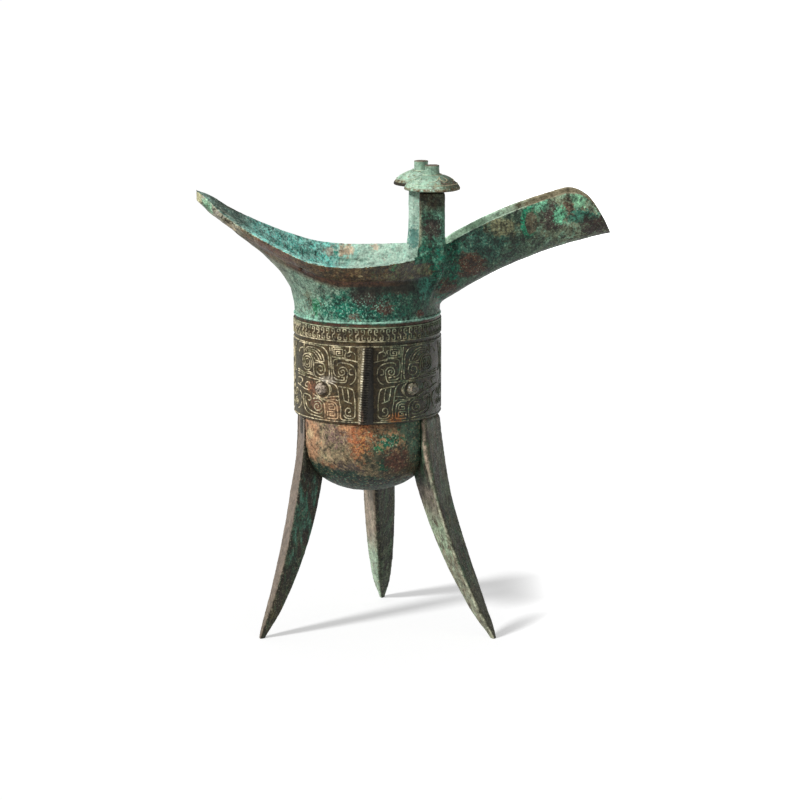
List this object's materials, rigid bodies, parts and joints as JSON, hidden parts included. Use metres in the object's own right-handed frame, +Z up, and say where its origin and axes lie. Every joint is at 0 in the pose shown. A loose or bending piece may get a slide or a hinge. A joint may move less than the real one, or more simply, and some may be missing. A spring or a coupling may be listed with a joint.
{
  "type": "bronze jue wine vessel",
  "caption": "Ancient ritual bronze wine cup for warming and pouring, with a channel spout, a pointed tail, capped posts on the rim, an animal-head handle, a mask band and blade legs.",
  "frame": {"origin": "on the floor, under the middle of the object's outline seen from above", "axes": "+X towards the spout's tip, +Y towards the handle, +Z up"},
  "size_m": [0.18, 0.089, 0.2069],
  "materials": {
    "cup_bronze": "aged, olive brown with copper-coloured and green corrosion",
    "band_bronze": "aged, raised lines pale, ground dark brown",
    "mouth_bronze": "aged, malachite green to pale teal, brown along the lip",
    "tail_bronze": "aged, pale grey green outside, blue green inside",
    "spout_bronze": "aged, dark green with malachite patches",
    "post_bronze": "aged, dark green and brown",
    "cap_bronze": "aged, pale mint on a dark ground",
    "leg_bronze": "aged, taupe brown outer faces, dark green sides",
    "handle_bronze": "aged, olive brown and green"
  },
  "bodies": {
    "root": {"bowl": "cup_bronze", "mask_band": "band_bronze", "neck": "mouth_bronze", "tail": "tail_bronze", "spout": "spout_bronze", "post_front": "post_bronze", "post_front_cap": "cap_bronze", "post_front_finial": "cap_bronze", "post_back": "post_bronze", "post_back_cap": "cap_bronze", "post_back_finial": "cap_bronze", "leg_front_left": "leg_bronze", "leg_front_right": "leg_bronze", "leg_back": "leg_bronze", "front_flange": "band_bronze", "eye_front_left": "band_bronze", "eye_front_right": "band_bronze", "eye_back_left": "band_bronze", "eye_back_right": "band_bronze", "handle_loop": "handle_bronze", "handle_head": "handle_bronze", "handle_horn_left": "handle_bronze", "handle_horn_right": "handle_bronze"}
  },
  "joints": []
}
